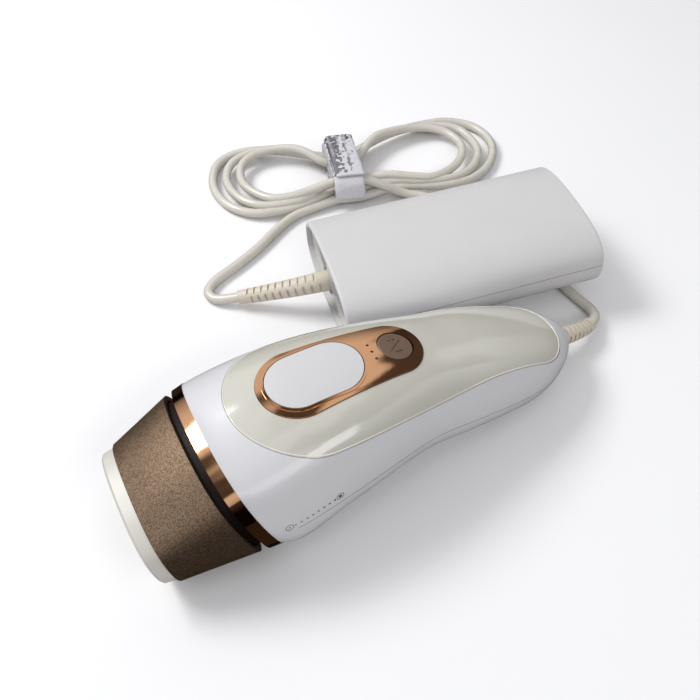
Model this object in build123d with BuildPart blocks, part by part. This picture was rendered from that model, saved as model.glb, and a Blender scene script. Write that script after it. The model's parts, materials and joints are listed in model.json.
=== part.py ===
from build123d import *

import math
import os
from collections import namedtuple

os.makedirs("parts", exist_ok=True)

# A hand-held IPL hair remover, its power adapter, and the cord between them, lying on a flat surface.
# Millimetres. +X runs along the handset from its head to its tail, +Z is up, and the origin is on the
# surface, in the middle of the handset and the adapter together.

# ---------------------------------------------------------------- driving dimensions: handset
HANDSET_Y = -40.0            # the handset's mid-plane
RING_X = -96.0               # crown of the body where the trim ring ends
BODY_LENGTH = 175.0          # along the crown, from the trim ring to the tail face
BODY_WIDTH = 75.0
BODY_HEIGHT = 58.5
WALL = 2.4                   # case wall
CROWN_FULLNESS = 0.70        # how square the section's upper corners are (0.55 is an ellipse)
BELLY_FULLNESS = 0.74
PARTING_RISE = 1.5           # the parting line runs this far above the widest line

RING_LENGTH = 4.5
VENT_GAP = 3.5               # dark gap between the trim ring and the head cap
CAP_LENGTH = 23.5            # along the crown
RIM_LENGTH = 5.5
HEAD_SLOPE = 0.40            # the crown's fall towards the head, per mm
HEAD_TAPER = 0.10            # the half width's loss towards the head, per mm
CAP_FRONT_HEIGHT = 34.5
CAP_FRONT_WIDTH = 63.0
CAP_FRONT_LEAN = 13.0        # degrees
CAP_WALL = 2.2
RIM_STEP = 1.0               # the white rim is set in from the cap's front edge
RIM_FRONT_WALL = 2.0
RIM_WALL = 2.0
EDGE_CUT = 1.0               # the rim's front edge is cut back by this much
CAP_EDGE_CUT = 0.5
CAP_TRAVEL = 40.0            # how far the cap slides before it is free

WINDOW_WIDTH = 36.0          # treatment window
WINDOW_HEIGHT = 12.0
WINDOW_Z = 17.5
TUNNEL_WALL = 1.2

PANEL_THICKNESS = 1.2
PANEL_HALF_WIDTH = 30.0
PANEL_TAIL_HALF_WIDTH = 19.5
PANEL_FRONT = 11.0           # from the trim ring
PANEL_REAR = 9.0             # from the tail face
PANEL_GAP = 0.15

BUTTON_LENGTH = 39.5         # treatment button
BUTTON_WIDTH = 25.0
BUTTON_X = -49.0
BUTTON_PROUD = 0.9
BUTTON_DEPTH = 5.0
BUTTON_TRAVEL = 1.2
BUTTON_GAP = 0.35
MODE_RADIUS = 7.25           # mode button
MODE_X = -13.5
MODE_TILT = 12.0             # degrees, towards the tail
MODE_TRAVEL = 0.8
FLANGE_REACH = 1.6           # how far each button's flange reaches under the case
FLANGE_THICKNESS = 1.2
BEZEL_MARGIN = 3.6
BEZEL_PROUD = 0.4
BEAD_WIDTH = 0.9
BEAD_PROUD = 0.9
BEAD_REACH = 2 * (BUTTON_GAP + BEAD_WIDTH)
INDICATOR_RADIUS = 0.55
INDICATOR_PITCH = 3.8
INDICATOR_X = -24.0

BOARD = 1.6                  # every circuit board's thickness
CONTROL_BOARD_Z = BODY_HEIGHT - 15.5     # under the buttons, so it follows the crown
POWER_BOARD_Z = 0.265 * BODY_HEIGHT      # just clear of the belly
CHASSIS_Z = CONTROL_BOARD_Z - 14.0
SWITCH_HEIGHT = 3.5
FAN_X = -76.0                # middle of the fan's thickness
FAN_SIZE = BODY_HEIGHT - 20.5            # as large as the case's height lets it be
FAN_THICKNESS = 10.0
FAN_Z = 9.0 + FAN_SIZE / 2
FAN_BORE = FAN_SIZE / 2 - 0.5
BLADE_CLEARANCE = 0.8
CAPACITOR_RADIUS = (BODY_HEIGHT - 14.5) / 4
CAPACITOR_LENGTH = 42.0
CAPACITOR_X = 2.0
CAPACITOR_Z = 11.5 + CAPACITOR_RADIUS
SCREW_RADIUS = 1.4
SCREW_HEAD_RADIUS = 2.6
SCREW_POST_RADIUS = 3.6

# ---------------------------------------------------------------- driving dimensions: power adapter
ADAPTER_LENGTH = 131.0
ADAPTER_WIDTH = 75.7
ADAPTER_HEIGHT = 34.3
ADAPTER_FULLNESS = 0.72
ADAPTER_TURN = -10.9         # degrees, the long axis against the handset's
ADAPTER_TILT = 2.9           # degrees: its far end rests on the cord that passes under it
ADAPTER_CORNER = (-2.7, 40.6, 0.0)      # middle of the cord end's lower edge
ADAPTER_WALL = 2.2
ADAPTER_PARTING = 0.575      # share of the height
ADAPTER_RECESS = 2.5         # the end caps sit this far in
ADAPTER_EDGE = 1.2           # rounding of both ends' outer edges
FIT_GAP = 0.15
INLET_PIN_RADIUS = 1.2
INLET_PIN_PITCH = 8.6
INLET_WIDTH = 15.0
INLET_OPENING = 7.6
INLET_DEPTH = 12.0

# ---------------------------------------------------------------- driving dimensions: cord
CORD_DIAMETER = 5.0
RELIEF_TIP_RADIUS = 3.5
ADAPTER_RELIEF_RADIUS = 5.3
HANDSET_RELIEF_RADIUS = 4.8
ADAPTER_RELIEF_TIP = (-42.5, 60.8, 5.6)
HANDSET_RELIEF_TIP = (101.5, -36.6, 6.6)
HANK_HEIGHT = 13.0
WAIST_WIDTH = 50.0
WAIST_HEIGHT = 17.0
TIE_LENGTH = 17.0
TIE_THICKNESS = 1.2
TIE_TURN = -18.0             # degrees
TIE_CENTRE = (51.0, 126.0)


def keep(piece, name):
    """Name a finished piece and write it."""
    piece.part.label = name
    export_step(piece.part, f"parts/{name}.step")


# ---------------------------------------------------------------- handset: sections and forms
# A station is a closed section across the handset. Its plane passes through the crown line at x and
# leans towards the head; crown, belly and waist are heights above the surface.
Station = namedtuple("Station", "x crown belly half waist lean")

BODY_SHARES = [
    # length, crown, belly, half width, waist, lean
    (0.00, 0.905, 0.020, 0.990, 0.38, 20),
    (0.17, 0.980, 0.090, 1.000, 0.40, 9),
    (0.27, 1.000, 0.140, 0.950, 0.42, 1),
    (0.40, 0.980, 0.165, 0.860, 0.42, -6),
    (0.51, 0.925, 0.165, 0.775, 0.41, -12),
    (0.62, 0.830, 0.140, 0.735, 0.375, -18),
    (0.74, 0.720, 0.100, 0.710, 0.32, -22),
    (0.85, 0.585, 0.050, 0.655, 0.26, -24),
    (0.92, 0.490, 0.035, 0.560, 0.22, -24),
    (0.97, 0.405, 0.045, 0.400, 0.21, -24),
    (1.00, 0.335, 0.085, 0.200, 0.20, -24),
]
BODY = [
    Station(RING_X + a * BODY_LENGTH, c * BODY_HEIGHT, b * BODY_HEIGHT, h * BODY_WIDTH / 2,
            w * BODY_HEIGHT, lean)
    for a, c, b, h, w, lean in BODY_SHARES
]


def forward_of(station, distance):
    """The section a distance further towards the head, on the head's own slope and taper."""
    return Station(station.x - distance, station.crown - HEAD_SLOPE * distance, station.belly,
                   station.half - HEAD_TAPER * distance, station.waist - 0.1 * distance, station.lean)


RING_BACK = BODY[0]
RING_FRONT = forward_of(RING_BACK, RING_LENGTH)
CAP_BACK = forward_of(RING_FRONT, VENT_GAP)
CAP_FRONT = Station(CAP_BACK.x - CAP_LENGTH, CAP_FRONT_HEIGHT, RING_BACK.belly, CAP_FRONT_WIDTH / 2,
                    0.44 * CAP_FRONT_HEIGHT, CAP_FRONT_LEAN)
RIM_FRONT = Station(CAP_FRONT.x - RIM_LENGTH, CAP_FRONT_HEIGHT - 1.2, CAP_FRONT.belly,
                    CAP_FRONT.half - 0.9, CAP_FRONT.waist, CAP_FRONT_LEAN)


def between(first, last, share):
    """The section part of the way from one section to another."""
    return Station(*[a + (b - a) * share for a, b in zip(first, last)])


def edge_cut(front, back, cut):
    """Two sections of an end with a cut edge: the end itself drawn in, then full size behind it."""
    drop = math.tan(math.radians(front.lean)) * cut
    small = front._replace(x=front.x + drop, crown=front.crown - cut, belly=front.belly + cut,
                           half=front.half - cut)
    return small, between(front, back, cut / (back.x - front.x))


def across(station):
    tilt = math.radians(station.lean)
    return Plane(origin=(station.x, HANDSET_Y, station.crown), x_dir=(0, 1, 0),
                 z_dir=(math.cos(tilt), 0, math.sin(tilt)))


def form(stations, inset=0.0):
    """Solid through the sections, each drawn in from its outline by inset."""
    with BuildPart() as solid:
        for station in stations:
            stretch = 1 / math.cos(math.radians(station.lean))
            half = station.half - inset
            waist = -(station.crown - station.waist) * stretch
            low = -(station.crown - station.belly - inset) * stretch
            with BuildSketch(across(station)):
                with BuildLine():
                    Bezier((0, -inset), (CROWN_FULLNESS * half, -inset),
                           (half, waist + CROWN_FULLNESS * (-inset - waist)), (half, waist))
                    Bezier((half, waist), (half, waist + BELLY_FULLNESS * (low - waist)),
                           (BELLY_FULLNESS * half, low), (0, low))
                    mirror(about=Plane.YZ)
                make_face()
        loft()
    return solid.part


def crown_at(x):
    """Height of the crown line at x."""
    for near, far in zip(BODY, BODY[1:]):
        if x <= far.x:
            return near.crown + (far.crown - near.crown) * (x - near.x) / (far.x - near.x)
    return BODY[-1].crown


def column(x, y, radius, low, high):
    """Upright cylinder."""
    with BuildPart() as solid:
        with BuildSketch(Plane.XY.offset(low)):
            with Locations((x, y)):
                Circle(radius)
        extrude(amount=high - low)
    return solid.part


def slot_column(length, width, low, high):
    """Upright prism with the treatment button's outline."""
    with BuildPart() as solid:
        with BuildSketch(Plane.XY.offset(low)):
            with Locations((BUTTON_X, HANDSET_Y)):
                SlotOverall(length, width)
        extrude(amount=high - low)
    return solid.part


outer = form(BODY)
seat = form(BODY, PANEL_THICKNESS)
cavity = form(BODY[:-1], WALL)
HIGH = BODY_HEIGHT + 20
TAIL = BODY[-1]

with BuildPart() as lower_half:
    with BuildSketch(Plane.XZ.offset(-HANDSET_Y)):
        with BuildLine():
            parting = Spline(*[
                (s.x + (s.crown - s.waist) * math.tan(math.radians(s.lean)), s.waist + PARTING_RISE)
                for s in BODY[:-2:2] + [TAIL]
            ])
            Polyline(parting @ 1, (TAIL.x + 30, (parting @ 1).Y), (TAIL.x + 30, -20),
                     (RING_X - 60, -20), (RING_X - 60, (parting @ 0).Y), parting @ 0)
        make_face()
    extrude(amount=BODY_WIDTH, both=True)


def screw_point(share, side):
    """A case screw's place, a share of the body's length back and inside the wall."""
    x = RING_X + share * BODY_LENGTH
    station = min(BODY, key=lambda s: abs(s.x - x))
    return x, HANDSET_Y + side * (station.half - 10.0), station.belly + 0.13 * BODY_HEIGHT


SCREWS = [screw_point(share, side) for share in (0.19, 0.72) for side in (-1, 1)]
SCREW_GRIP = 9.0             # screw length in the upper shell

with BuildPart() as posts:
    for x, y, _ in SCREWS:
        add(column(x, y, SCREW_POST_RADIUS, 0, HIGH))
    add(outer, mode=Mode.INTERSECT)

screw_top = max(s.waist for s in BODY) + PARTING_RISE + SCREW_GRIP

# ---------------------------------------------------------------- outlines on the crown
def panel_column(gap):
    """Upright prism with the top panel's outline, drawn in by gap, above the parting line."""
    front = RING_X + PANEL_FRONT + gap
    rear = TAIL.x - PANEL_REAR - gap
    wide = PANEL_HALF_WIDTH - gap
    narrow = PANEL_TAIL_HALF_WIDTH - gap
    nose = front + 30
    heel = rear - 17
    with BuildPart() as solid:
        with BuildSketch(Plane.XY.offset(TAIL.crown - 12)):
            with BuildLine():
                Bezier((front, HANDSET_Y), (front, HANDSET_Y + 0.55 * wide),
                       (nose - 16, HANDSET_Y + wide), (nose, HANDSET_Y + wide))
                Bezier((nose, HANDSET_Y + wide), (nose + 28, HANDSET_Y + wide),
                       (nose + 58, HANDSET_Y + narrow + 2), (heel, HANDSET_Y + narrow))
                Bezier((heel, HANDSET_Y + narrow), (rear - 6, HANDSET_Y + narrow - 1),
                       (rear, HANDSET_Y + 0.55 * narrow), (rear, HANDSET_Y))
                mirror(about=Plane.XZ.offset(-HANDSET_Y))
            make_face()
        extrude(amount=HIGH)
        add(lower_half.part, mode=Mode.SUBTRACT)
    return solid.part


def bezel_column(margin):
    """Upright prism round both buttons: a big round end at the treatment button, a smaller one behind."""
    with BuildPart() as solid:
        with BuildSketch(Plane.XY.offset(crown_at(MODE_X) - 14)):
            with Locations((BUTTON_X - (BUTTON_LENGTH - BUTTON_WIDTH) / 2, HANDSET_Y)):
                Circle(BUTTON_WIDTH / 2 + margin)
            with Locations((MODE_X - 2, HANDSET_Y)):
                Circle(MODE_RADIUS + 1.6 * margin)
            make_hull()
        extrude(amount=HIGH)
    return solid.part


# The mode button's own plane, square to the crown where it sits.
mode_lean = math.radians(MODE_TILT)
MODE = Plane(origin=(MODE_X, HANDSET_Y, crown_at(MODE_X)),
             x_dir=(math.cos(mode_lean), 0, -math.sin(mode_lean)),
             z_dir=(math.sin(mode_lean), 0, math.cos(mode_lean)))


def mode_disc(radius, low, high):
    """Disc on the mode button's axis."""
    with BuildPart() as solid:
        with BuildSketch(MODE.offset(low)):
            Circle(radius)
        extrude(amount=high - low)
    return solid.part


indicator_places = [(INDICATOR_X, HANDSET_Y + i * INDICATOR_PITCH) for i in (-1, 0, 1)]
CONTROL_TOP = CONTROL_BOARD_Z + BOARD

# ---------------------------------------------------------------- handset: case
with BuildPart() as upper_shell:
    add(outer)
    add(cavity, mode=Mode.SUBTRACT)
    add(posts.part)
    add(lower_half.part, mode=Mode.SUBTRACT)
    with BuildPart(mode=Mode.PRIVATE) as pocket:
        add(panel_column(0))
        add(seat, mode=Mode.SUBTRACT)
    add(pocket.part, mode=Mode.SUBTRACT)
    add(slot_column(BUTTON_LENGTH + 2 * BUTTON_GAP, BUTTON_WIDTH + 2 * BUTTON_GAP, CONTROL_TOP, HIGH),
        mode=Mode.SUBTRACT)
    add(mode_disc(MODE_RADIUS + BUTTON_GAP, -8, 10), mode=Mode.SUBTRACT)
    for x, y in indicator_places:
        add(column(x, y, INDICATOR_RADIUS + 0.05, CONTROL_TOP, HIGH), mode=Mode.SUBTRACT)
    for x, y, z in SCREWS:
        add(column(x, y, SCREW_RADIUS, 0, screw_top + 1), mode=Mode.SUBTRACT)
    with BuildSketch(Plane.YZ.offset(TAIL.x - 20)):
        with Locations((HANDSET_Y, (TAIL.crown + TAIL.belly) / 2)):
            Circle(HANDSET_RELIEF_RADIUS + 0.1)
    extrude(amount=40, mode=Mode.SUBTRACT)
keep(upper_shell, "upper_shell")

with BuildPart() as lower_shell:
    add(outer)
    add(cavity, mode=Mode.SUBTRACT)
    add(posts.part)
    add(lower_half.part, mode=Mode.INTERSECT)
    for x, y, z in SCREWS:
        add(column(x, y, SCREW_HEAD_RADIUS + 0.2, 0, z), mode=Mode.SUBTRACT)
        add(column(x, y, SCREW_RADIUS + 0.2, 0, HIGH), mode=Mode.SUBTRACT)
    # air intake under the fan
    with BuildSketch(Plane.XY):
        with Locations((-40, HANDSET_Y)):
            with GridLocations(5, 1, 7, 1):
                SlotOverall(26, 2.2, rotation=90)
    extrude(amount=20, mode=Mode.SUBTRACT)
    with BuildSketch(Plane.YZ.offset(TAIL.x - 20)):
        with Locations((HANDSET_Y, (TAIL.crown + TAIL.belly) / 2)):
            Circle(HANDSET_RELIEF_RADIUS + 0.1)
    extrude(amount=40, mode=Mode.SUBTRACT)
keep(lower_shell, "lower_shell")

with BuildPart() as case_screws:
    for x, y, z in SCREWS:
        add(column(x, y, SCREW_HEAD_RADIUS, z - 2.0, z))
        add(column(x, y, SCREW_RADIUS, z, screw_top))
keep(case_screws, "case_screws")

with BuildPart() as top_panel:
    add(panel_column(PANEL_GAP))
    add(outer, mode=Mode.INTERSECT)
    add(seat, mode=Mode.SUBTRACT)
    add(bezel_column(BEZEL_MARGIN + FIT_GAP), mode=Mode.SUBTRACT)
keep(top_panel, "top_panel")

with BuildPart() as control_bezel:
    add(form(BODY, -BEZEL_PROUD))
    add(bezel_column(BEZEL_MARGIN), mode=Mode.INTERSECT)
    with BuildPart(mode=Mode.PRIVATE) as bead:
        add(form(BODY, -BEAD_PROUD))
        add(slot_column(BUTTON_LENGTH + BEAD_REACH, BUTTON_WIDTH + BEAD_REACH, CONTROL_TOP, HIGH),
            mode=Mode.INTERSECT)
    add(bead.part)
    add(seat, mode=Mode.SUBTRACT)
    add(slot_column(BUTTON_LENGTH + 2 * BUTTON_GAP, BUTTON_WIDTH + 2 * BUTTON_GAP, 0, HIGH),
        mode=Mode.SUBTRACT)
    add(mode_disc(MODE_RADIUS + BUTTON_GAP, -8, 10), mode=Mode.SUBTRACT)
    for x, y in indicator_places:
        add(column(x, y, INDICATOR_RADIUS + 0.05, CONTROL_TOP, HIGH), mode=Mode.SUBTRACT)
keep(control_bezel, "control_bezel")

# ---------------------------------------------------------------- handset: buttons
BUTTON_FOOT = CONTROL_TOP + SWITCH_HEIGHT + BUTTON_TRAVEL + 0.1

with BuildPart() as treatment_button:
    add(form(BODY, -BUTTON_PROUD))
    add(slot_column(BUTTON_LENGTH, BUTTON_WIDTH, CONTROL_TOP, HIGH), mode=Mode.INTERSECT)
    with BuildPart(mode=Mode.PRIVATE) as flange:
        add(form(BODY, WALL + 0.6))
        add(slot_column(BUTTON_LENGTH + 2 * FLANGE_REACH, BUTTON_WIDTH + 2 * FLANGE_REACH, CONTROL_TOP, HIGH),
            mode=Mode.INTERSECT)
    add(flange.part)
    add(form(BODY, WALL + 0.6 + FLANGE_THICKNESS), mode=Mode.SUBTRACT)
    add(column(BUTTON_X, HANDSET_Y, 3.0, BUTTON_FOOT, crown_at(BUTTON_X) - 3))
keep(treatment_button, "treatment_button")

with BuildPart() as mode_button:
    add(mode_disc(MODE_RADIUS, -WALL - 2, 0.3))
    add(mode_disc(MODE_RADIUS + FLANGE_REACH, -WALL - 2, -WALL - 1.0))
    add(mode_disc(2.0, -WALL - 4, -WALL - 2))
    rims = mode_button.edges().filter_by(GeomType.CIRCLE)
    fillet(rims.sort_by(lambda edge: MODE.to_local_coords(edge.center()).Z)[-1], radius=0.6)
    with BuildSketch(MODE.offset(0.3)):
        with Locations((0, 3.2)):
            Rectangle(3.4, 0.6)
            Rectangle(0.6, 3.4)
        with Locations((0, -3.2)):
            Rectangle(0.6, 3.4, rotation=90)
        Rectangle(8.0, 0.4, rotation=35)
    extrude(amount=-0.3, mode=Mode.SUBTRACT)
keep(mode_button, "mode_button")

with BuildPart() as indicator_lenses:
    for x, y in indicator_places:
        add(column(x, y, INDICATOR_RADIUS, CONTROL_TOP + 0.5, crown_at(x) + 0.2))
keep(indicator_lenses, "indicator_lenses")

SPRING_TOP = crown_at(BUTTON_X) - WALL - 0.6 - FLANGE_THICKNESS - 0.9
with BuildPart() as trigger_springs:
    for side in (-1, 1):
        add(column(BUTTON_X + side * 10, HANDSET_Y, 2.4, CONTROL_TOP, SPRING_TOP))
        add(column(BUTTON_X + side * 10, HANDSET_Y, 1.8, CONTROL_TOP, SPRING_TOP), mode=Mode.SUBTRACT)
keep(trigger_springs, "trigger_springs")

with BuildPart() as control_board:
    with BuildSketch(Plane.XY.offset(CONTROL_BOARD_Z)):
        with Locations(((BUTTON_X + MODE_X) / 2, HANDSET_Y)):
            RectangleRounded(62, 30, 4)
    extrude(amount=BOARD)
keep(control_board, "control_board")

MODE_FOOT = MODE.from_local_coords(Vector(0, 0, -WALL - 4))
with BuildPart() as tact_switches:
    with BuildSketch(Plane.XY.offset(CONTROL_TOP)):
        with Locations((BUTTON_X, HANDSET_Y), (MODE_FOOT.X, HANDSET_Y)):
            Rectangle(6, 6)
    extrude(amount=SWITCH_HEIGHT - 1.0)
    add(column(BUTTON_X, HANDSET_Y, 1.6, CONTROL_TOP, CONTROL_TOP + SWITCH_HEIGHT))
    add(column(MODE_FOOT.X, HANDSET_Y, 1.2, CONTROL_TOP, MODE_FOOT.Z - MODE_TRAVEL - 0.6))
keep(tact_switches, "tact_switches")

# ---------------------------------------------------------------- handset: head
with BuildPart() as trim_ring:
    add(form([RING_FRONT, RING_BACK], -0.2))
    add(form([RING_FRONT, RING_BACK], WALL), mode=Mode.SUBTRACT)
keep(trim_ring, "trim_ring")

SNOUT_FRONT = between(CAP_BACK, CAP_FRONT, 0.35)
with BuildPart() as vent_collar:
    add(form([RING_FRONT, RING_BACK], WALL + 0.1))
    add(form([CAP_BACK, RING_FRONT], 3.0))
    add(form([SNOUT_FRONT, CAP_BACK], CAP_WALL + 2.2))
    add(form([SNOUT_FRONT, CAP_BACK, RING_FRONT, RING_BACK], CAP_WALL + 3.8), mode=Mode.SUBTRACT)
keep(vent_collar, "vent_collar")

CAP_INNER_FRONT = between(CAP_FRONT, CAP_BACK, 0.09)


def window_column(margin):
    """Level prism through the head, the window's size plus a margin all round."""
    with BuildPart() as solid:
        with BuildSketch(Plane.YZ.offset(RIM_FRONT.x - 10)):
            with Locations((HANDSET_Y, WINDOW_Z)):
                Rectangle(WINDOW_WIDTH + 2 * margin, WINDOW_HEIGHT + 2 * margin)
        extrude(amount=60)
    return solid.part


cap_edge, cap_full = edge_cut(CAP_FRONT, CAP_BACK, CAP_EDGE_CUT)
with BuildPart() as head_cap:
    add(form([cap_edge, cap_full]))
    add(form([cap_full, CAP_BACK]))
    add(form([CAP_INNER_FRONT, CAP_BACK], CAP_WALL), mode=Mode.SUBTRACT)
    add(window_column(TUNNEL_WALL + FIT_GAP), mode=Mode.SUBTRACT)
keep(head_cap, "head_cap")

RIM_MIDDLE = between(RIM_FRONT, CAP_FRONT, RIM_FRONT_WALL / RIM_LENGTH)
rim_edge, rim_full = edge_cut(RIM_FRONT, CAP_FRONT, EDGE_CUT)
with BuildPart() as cap_rim:
    add(form([rim_edge, rim_full], RIM_STEP))
    add(form([rim_full, CAP_FRONT], RIM_STEP))
    add(form([RIM_MIDDLE, CAP_FRONT], RIM_STEP + RIM_WALL), mode=Mode.SUBTRACT)
    add(window_column(0), mode=Mode.SUBTRACT)
keep(cap_rim, "cap_rim")

TUNNEL_BACK = CAP_INNER_FRONT.x + 9
with BuildPart() as light_tunnel:
    add(window_column(TUNNEL_WALL))
    add(window_column(0), mode=Mode.SUBTRACT)
    split(bisect_by=across(RIM_MIDDLE), keep=Keep.TOP)
    split(bisect_by=Plane.YZ.offset(TUNNEL_BACK), keep=Keep.BOTTOM)
keep(light_tunnel, "light_tunnel")

# ---------------------------------------------------------------- handset: lamp
HOUSING_FRONT = TUNNEL_BACK + 1.5
HOUSING_DEPTH = 24.0
HOUSING_WIDTH = WINDOW_WIDTH + 5
HOUSING_HEIGHT = WINDOW_HEIGHT + 4.4
GLASS = 2.0


def head_block(start, depth, width, height):
    """Level block across the head, centred on the window."""
    with BuildPart() as solid:
        with BuildSketch(Plane.YZ.offset(start)):
            with Locations((HANDSET_Y, WINDOW_Z)):
                Rectangle(width, height)
        extrude(amount=depth)
    return solid.part


with BuildPart() as lamp_housing:
    add(head_block(HOUSING_FRONT, HOUSING_DEPTH, HOUSING_WIDTH, HOUSING_HEIGHT))
    add(head_block(HOUSING_FRONT, HOUSING_DEPTH - 3, WINDOW_WIDTH + 2, WINDOW_HEIGHT + 2), mode=Mode.SUBTRACT)
keep(lamp_housing, "lamp_housing")

with BuildPart() as filter_window:
    add(head_block(HOUSING_FRONT, GLASS, WINDOW_WIDTH + 1.8, WINDOW_HEIGHT + 1.8))
keep(filter_window, "filter_window")

LAMP_X = HOUSING_FRONT + GLASS + 9
with BuildPart() as reflector:
    with BuildSketch(Plane.XZ.offset(-HANDSET_Y)):
        with BuildLine() as trough:
            mouth = HOUSING_FRONT + GLASS + 0.8
            half_mouth = WINDOW_HEIGHT / 2 - 0.2
            Line((mouth, WINDOW_Z + half_mouth), (LAMP_X, WINDOW_Z + half_mouth - 1))
            ThreePointArc((LAMP_X, WINDOW_Z + half_mouth - 1), (LAMP_X + half_mouth - 1, WINDOW_Z),
                          (LAMP_X, WINDOW_Z - half_mouth + 1))
            Line((LAMP_X, WINDOW_Z - half_mouth + 1), (mouth, WINDOW_Z - half_mouth))
            offset(amount=0.5, side=Side.BOTH)
        make_face()
    extrude(amount=WINDOW_WIDTH / 2, both=True)
keep(reflector, "reflector")

with BuildPart() as flash_lamp:
    with BuildSketch(Plane.XZ.offset(-HANDSET_Y)):
        with Locations((LAMP_X, WINDOW_Z)):
            Circle(2.2)
    extrude(amount=WINDOW_WIDTH / 2 - 3, both=True)
keep(flash_lamp, "flash_lamp")

with BuildPart() as lamp_ends:
    for side in (-1, 1):
        with BuildSketch(Plane.XZ.offset(-HANDSET_Y + side * (WINDOW_WIDTH / 2 - 3))):
            with Locations((LAMP_X, WINDOW_Z)):
                Circle(2.4)
        extrude(amount=side * 3.0)
keep(lamp_ends, "lamp_ends")

with BuildPart() as skin_sensor:
    with BuildSketch(Plane.YZ.offset(HOUSING_FRONT)):
        with Locations((HANDSET_Y, WINDOW_Z + HOUSING_HEIGHT / 2 + 4)):
            Rectangle(8, 7)
    extrude(amount=10)
keep(skin_sensor, "skin_sensor")

# ---------------------------------------------------------------- handset: fan
with BuildPart() as fan_frame:
    with BuildSketch(Plane.YZ.offset(FAN_X - FAN_THICKNESS / 2)):
        with Locations((HANDSET_Y, FAN_Z)):
            RectangleRounded(FAN_SIZE, FAN_SIZE, 4)
            Circle(FAN_BORE, mode=Mode.SUBTRACT)
            with GridLocations(FAN_SIZE - 6, FAN_SIZE - 6, 2, 2):
                Circle(1.4, mode=Mode.SUBTRACT)
    extrude(amount=FAN_THICKNESS)
    with BuildSketch(Plane.YZ.offset(FAN_X + FAN_THICKNESS / 2 - 1.5)):
        with Locations((HANDSET_Y, FAN_Z)):
            Circle(8)
            with PolarLocations(FAN_BORE / 2, 4):
                Rectangle(FAN_BORE + 0.8, 2.5)
    extrude(amount=1.5)
    with BuildSketch(Plane.YZ.offset(FAN_X - 2)):
        with Locations((HANDSET_Y, FAN_Z)):
            Circle(1.0)
    extrude(amount=FAN_THICKNESS / 2 + 2)
keep(fan_frame, "fan_frame")

with BuildPart() as fan_rotor:
    with BuildSketch(Plane.YZ.offset(FAN_X - FAN_THICKNESS / 2 + 0.5)):
        with Locations((HANDSET_Y, FAN_Z)):
            Circle(8.5)
            with PolarLocations(8.0 + (FAN_BORE - BLADE_CLEARANCE - 8.0) / 2, 7):
                Rectangle(FAN_BORE - BLADE_CLEARANCE - 8.0, 3.2, rotation=18)
    extrude(amount=FAN_THICKNESS - 3.0)
    with BuildSketch(Plane.YZ.offset(FAN_X - 2)):
        with Locations((HANDSET_Y, FAN_Z)):
            Circle(1.05)
    extrude(amount=FAN_THICKNESS, mode=Mode.SUBTRACT)
keep(fan_rotor, "fan_rotor")

# ---------------------------------------------------------------- handset: electronics
CHASSIS_LENGTH = 60.0
CHASSIS_MIDDLE = (BUTTON_X + MODE_X) / 2 - 2
POWER_BOARD_TOP = POWER_BOARD_Z + BOARD
PART_ROOM = CHASSIS_Z - POWER_BOARD_TOP  # between the power board and the chassis
with BuildPart() as inner_chassis:
    with BuildSketch(Plane.XY.offset(CHASSIS_Z)):
        with Locations((CHASSIS_MIDDLE, HANDSET_Y)):
            RectangleRounded(CHASSIS_LENGTH, 36, 3)
            with GridLocations(CHASSIS_LENGTH - 12, 1, 2, 1):
                Circle(4, mode=Mode.SUBTRACT)
    extrude(amount=2.0)
    with BuildSketch(Plane.XY.offset(CHASSIS_Z + 2)):
        with Locations((CHASSIS_MIDDLE, HANDSET_Y)):
            with GridLocations(CHASSIS_LENGTH - 8, 24, 2, 2):
                Circle(2.2)
    extrude(amount=CONTROL_BOARD_Z - CHASSIS_Z - 2)
    with BuildSketch(Plane.XY.offset(POWER_BOARD_TOP)):
        with Locations((CHASSIS_MIDDLE, HANDSET_Y)):
            with GridLocations(CHASSIS_LENGTH - 8, 28, 2, 2):
                Circle(2.2)
    extrude(amount=PART_ROOM)
keep(inner_chassis, "inner_chassis")

with BuildPart() as power_board:
    with BuildSketch(Plane.XY.offset(POWER_BOARD_Z)):
        with Locations((CHASSIS_MIDDLE, HANDSET_Y)):
            RectangleRounded(CHASSIS_LENGTH, 34, 2)
    extrude(amount=BOARD)
keep(power_board, "power_board")

with BuildPart() as trigger_transformer:
    with BuildSketch(Plane.XY.offset(POWER_BOARD_TOP)):
        with Locations((BUTTON_X - 4, HANDSET_Y + 4)):
            Rectangle(14, 12)
    extrude(amount=0.75 * PART_ROOM)
keep(trigger_transformer, "trigger_transformer")

with BuildPart() as board_chokes:
    with BuildSketch(Plane.XY.offset(POWER_BOARD_TOP)):
        with Locations((MODE_X - 8, HANDSET_Y - 6), (MODE_X - 8, HANDSET_Y + 7)):
            Circle(5)
            Circle(2, mode=Mode.SUBTRACT)
    extrude(amount=0.67 * PART_ROOM)
keep(board_chokes, "board_chokes")

with BuildPart() as storage_capacitor:
    with BuildSketch(Plane.YZ.offset(CAPACITOR_X)):
        with Locations((HANDSET_Y, CAPACITOR_Z)):
            Circle(CAPACITOR_RADIUS)
    extrude(amount=CAPACITOR_LENGTH)
    fillet(storage_capacitor.edges().filter_by(GeomType.CIRCLE), radius=1.0)
keep(storage_capacitor, "storage_capacitor")


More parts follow.
